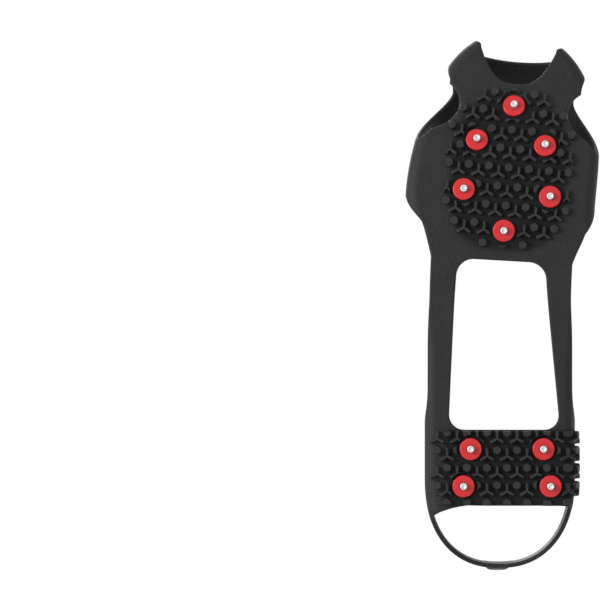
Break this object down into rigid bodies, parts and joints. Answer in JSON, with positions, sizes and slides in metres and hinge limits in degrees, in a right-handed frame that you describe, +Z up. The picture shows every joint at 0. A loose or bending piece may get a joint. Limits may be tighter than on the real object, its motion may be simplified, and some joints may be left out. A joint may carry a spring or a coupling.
{
  "type": "ice cleat",
  "caption": "Slip-on rubber ice cleat with a toe harness, heel strap, lugged tread and steel studs in red buttons, worn under a boot for grip on ice.",
  "frame": {"origin": "on the ground, under the middle of the cleat's box", "axes": "+Y towards the toe, +X towards the outer side of a right foot, +Z up"},
  "size_m": [0.1098, 0.3032, 0.0964],
  "materials": {
    "rubber": "matte charcoal black with a fine leathery grain",
    "red_plastic": "satin red",
    "steel": "bright turned steel"
  },
  "bodies": {
    "root": {"harness": "rubber", "stud_button_01": "red_plastic", "stud_button_02": "red_plastic", "stud_button_03": "red_plastic", "stud_button_04": "red_plastic", "stud_button_05": "red_plastic", "stud_button_06": "red_plastic", "stud_button_07": "red_plastic", "stud_button_08": "red_plastic", "stud_button_09": "red_plastic", "stud_button_10": "red_plastic", "steel_spike_01": "steel", "steel_spike_02": "steel", "steel_spike_03": "steel", "steel_spike_04": "steel", "steel_spike_05": "steel", "steel_spike_06": "steel", "steel_spike_07": "steel", "steel_spike_08": "steel", "steel_spike_09": "steel", "steel_spike_10": "steel"}
  },
  "joints": []
}
